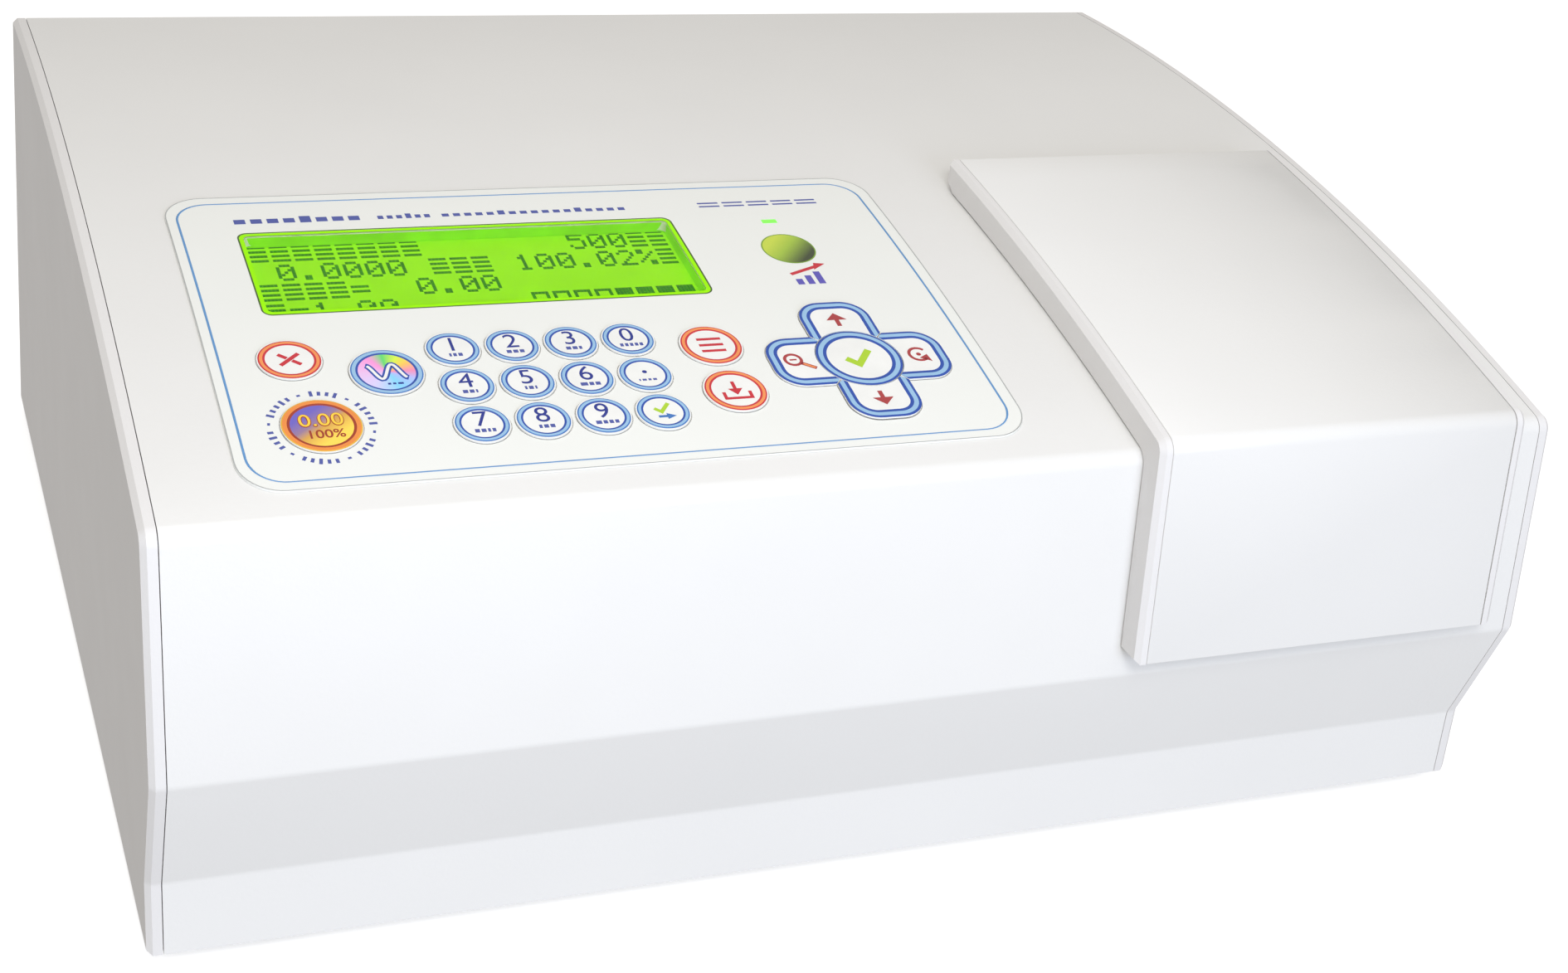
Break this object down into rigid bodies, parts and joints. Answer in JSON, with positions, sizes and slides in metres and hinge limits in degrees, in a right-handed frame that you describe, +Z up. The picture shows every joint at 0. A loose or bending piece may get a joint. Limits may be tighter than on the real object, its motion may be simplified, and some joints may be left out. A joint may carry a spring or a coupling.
{
  "type": "benchtop spectrophotometer",
  "caption": "Benchtop spectrophotometer with a bent cover between side plates, a hinged lid over a sliding cuvette carriage, a display and short-travel keys.",
  "frame": {"origin": "centre of the bounding box in X and Y, at the soles of the feet", "axes": "+X to the right of the front, +Y to the back, +Z up"},
  "size_m": [0.395, 0.3472, 0.16],
  "materials": {
    "white_paint": "satin, fine texture",
    "plate_paint": "satin, fine texture",
    "steel": "brushed",
    "overlay_film": "fine matt polyester",
    "key_face": "matt",
    "window_film": "clear",
    "display_glass": "gloss",
    "black_plastic": "matt",
    "rubber": "matt",
    "foam": "matt foam",
    "board": "solder mask",
    "casting": "fine cast",
    "aluminium": "machined",
    "optical_glass": "polished",
    "mirror": "polished",
    "led": "gloss"
  },
  "bodies": {
    "case": {"base_tray": "steel", "left_side_plate": "plate_paint", "right_side_plate": "plate_paint", "top_cover": "white_paint", "rear_panel": "plate_paint", "panel_screws": "steel", "feet": "rubber", "keypad_overlay": "overlay_film", "display_window": "window_film", "lcd_frame": "black_plastic", "lcd_glass": "display_glass", "status_led": "led", "keypad_circuit": "board", "hinge_bracket": "steel", "hinge_pin": "steel", "sample_tub": "black_plastic", "beam_lenses": "optical_glass", "optics_bench": "casting", "slit_plates": "black_plastic", "curved_mirrors": "mirror", "grating_motor": "steel", "lamp_housing": "aluminium", "halogen_lamp": "optical_glass", "detector_board": "board", "main_board": "board", "power_supply": "steel", "fan_frame": "black_plastic", "power_inlet": "black_plastic", "serial_socket": "steel"},
    "lid": {"lid_cover": "white_paint", "lid_left_plate": "plate_paint", "lid_right_plate": "plate_paint", "lid_seal": "foam", "lid_hinge_leaf": "steel"},
    "carriage": {"cuvette_carriage": "black_plastic"},
    "rocker": {"rocker_switch": "black_plastic"},
    "grating": {"grating_table": "aluminium"},
    "fan": {"fan_rotor": "black_plastic"},
    "key_1_body": {"key_1": "key_face"},
    "key_2_body": {"key_2": "key_face"},
    "key_3_body": {"key_3": "key_face"},
    "key_0_body": {"key_0": "key_face"},
    "key_4_body": {"key_4": "key_face"},
    "key_5_body": {"key_5": "key_face"},
    "key_6_body": {"key_6": "key_face"},
    "key_point_body": {"key_point": "key_face"},
    "key_7_body": {"key_7": "key_face"},
    "key_8_body": {"key_8": "key_face"},
    "key_9_body": {"key_9": "key_face"},
    "key_enter_body": {"key_enter": "key_face"},
    "key_escape_body": {"key_escape": "key_face"},
    "key_wavelength_body": {"key_wavelength": "key_face"},
    "key_zero_body": {"key_zero": "key_face"},
    "key_menu_body": {"key_menu": "key_face"},
    "key_memory_body": {"key_memory": "key_face"},
    "key_ok_body": {"key_ok": "key_face"},
    "key_right_body": {"key_right": "key_face"},
    "key_up_body": {"key_up": "key_face"},
    "key_left_body": {"key_left": "key_face"},
    "key_down_body": {"key_down": "key_face"}
  },
  "joints": [
    {"name": "lid_hinge", "type": "hinge", "parent": "case", "child": "lid", "pos_m": [0.12205, -0.02789, 0.15449], "axis": [-1, 0, 0], "range_deg": [0, 78]},
    {"name": "carriage_slide", "type": "slide", "parent": "case", "child": "carriage", "axis": [0, 1, 0], "range_m": [0, 0.0465]},
    {"name": "power_rocker", "type": "hinge", "parent": "case", "child": "rocker", "pos_m": [-0.12, 0.15182, 0.06966], "axis": [-1, 0, 0], "range_deg": [0, 14]},
    {"name": "grating_turn", "type": "hinge", "parent": "case", "child": "grating", "pos_m": [-0.0207, -0.11639, 0.0285], "axis": [0, 0, 1], "range_deg": [-25, 35]},
    {"name": "fan_spin", "type": "hinge", "parent": "case", "child": "fan", "pos_m": [0.095, 0.14722, 0.06746], "axis": [0, 0.9694, 0.2455], "continuous": true},
    {"name": "key_1_press", "type": "slide", "parent": "case", "child": "key_1_body", "axis": [0, 0.1973, -0.9803], "range_m": [0, 0.0003], "stiffness_N_per_m": 1000, "springref_m": -0.001},
    {"name": "key_2_press", "type": "slide", "parent": "case", "child": "key_2_body", "axis": [0, 0.1973, -0.9803], "range_m": [0, 0.0003], "stiffness_N_per_m": 1000, "springref_m": -0.001},
    {"name": "key_3_press", "type": "slide", "parent": "case", "child": "key_3_body", "axis": [0, 0.1973, -0.9803], "range_m": [0, 0.0003], "stiffness_N_per_m": 1000, "springref_m": -0.001},
    {"name": "key_0_press", "type": "slide", "parent": "case", "child": "key_0_body", "axis": [0, 0.1973, -0.9803], "range_m": [0, 0.0003], "stiffness_N_per_m": 1000, "springref_m": -0.001},
    {"name": "key_4_press", "type": "slide", "parent": "case", "child": "key_4_body", "axis": [0, 0.2127, -0.9771], "range_m": [0, 0.0003], "stiffness_N_per_m": 1000, "springref_m": -0.001},
    {"name": "key_5_press", "type": "slide", "parent": "case", "child": "key_5_body", "axis": [0, 0.2127, -0.9771], "range_m": [0, 0.0003], "stiffness_N_per_m": 1000, "springref_m": -0.001},
    {"name": "key_6_press", "type": "slide", "parent": "case", "child": "key_6_body", "axis": [0, 0.2127, -0.9771], "range_m": [0, 0.0003], "stiffness_N_per_m": 1000, "springref_m": -0.001},
    {"name": "key_point_press", "type": "slide", "parent": "case", "child": "key_point_body", "axis": [0, 0.2127, -0.9771], "range_m": [0, 0.0003], "stiffness_N_per_m": 1000, "springref_m": -0.001},
    {"name": "key_7_press", "type": "slide", "parent": "case", "child": "key_7_body", "axis": [0, 0.2281, -0.9736], "range_m": [0, 0.0003], "stiffness_N_per_m": 1000, "springref_m": -0.001},
    {"name": "key_8_press", "type": "slide", "parent": "case", "child": "key_8_body", "axis": [0, 0.2281, -0.9736], "range_m": [0, 0.0003], "stiffness_N_per_m": 1000, "springref_m": -0.001},
    {"name": "key_9_press", "type": "slide", "parent": "case", "child": "key_9_body", "axis": [0, 0.2281, -0.9736], "range_m": [0, 0.0003], "stiffness_N_per_m": 1000, "springref_m": -0.001},
    {"name": "key_enter_press", "type": "slide", "parent": "case", "child": "key_enter_body", "axis": [0, 0.2281, -0.9736], "range_m": [0, 0.0003], "stiffness_N_per_m": 1000, "springref_m": -0.001},
    {"name": "key_escape_press", "type": "slide", "parent": "case", "child": "key_escape_body", "axis": [0, 0.1979, -0.9802], "range_m": [0, 0.0003], "stiffness_N_per_m": 1000, "springref_m": -0.001},
    {"name": "key_wavelength_press", "type": "slide", "parent": "case", "child": "key_wavelength_body", "axis": [0, 0.2053, -0.9787], "range_m": [0, 0.0003], "stiffness_N_per_m": 1000, "springref_m": -0.001},
    {"name": "key_zero_press", "type": "slide", "parent": "case", "child": "key_zero_body", "axis": [0, 0.2247, -0.9744], "range_m": [0, 0.0003], "stiffness_N_per_m": 1000, "springref_m": -0.001},
    {"name": "key_menu_press", "type": "slide", "parent": "case", "child": "key_menu_body", "axis": [0, 0.202, -0.9794], "range_m": [0, 0.0003], "stiffness_N_per_m": 1000, "springref_m": -0.001},
    {"name": "key_memory_press", "type": "slide", "parent": "case", "child": "key_memory_body", "axis": [0, 0.2217, -0.9751], "range_m": [0, 0.0003], "stiffness_N_per_m": 1000, "springref_m": -0.001},
    {"name": "key_ok_press", "type": "slide", "parent": "case", "child": "key_ok_body", "axis": [0, 0.2116, -0.9774], "range_m": [0, 0.0003], "stiffness_N_per_m": 1000, "springref_m": -0.001},
    {"name": "key_right_press", "type": "slide", "parent": "case", "child": "key_right_body", "axis": [0, 0.2116, -0.9774], "range_m": [0, 0.0003], "stiffness_N_per_m": 1000, "springref_m": -0.001},
    {"name": "key_up_press", "type": "slide", "parent": "case", "child": "key_up_body", "axis": [0, 0.2116, -0.9774], "range_m": [0, 0.0003], "stiffness_N_per_m": 1000, "springref_m": -0.001},
    {"name": "key_left_press", "type": "slide", "parent": "case", "child": "key_left_body", "axis": [0, 0.2116, -0.9774], "range_m": [0, 0.0003], "stiffness_N_per_m": 1000, "springref_m": -0.001},
    {"name": "key_down_press", "type": "slide", "parent": "case", "child": "key_down_body", "axis": [0, 0.2116, -0.9774], "range_m": [0, 0.0003], "stiffness_N_per_m": 1000, "springref_m": -0.001}
  ]
}
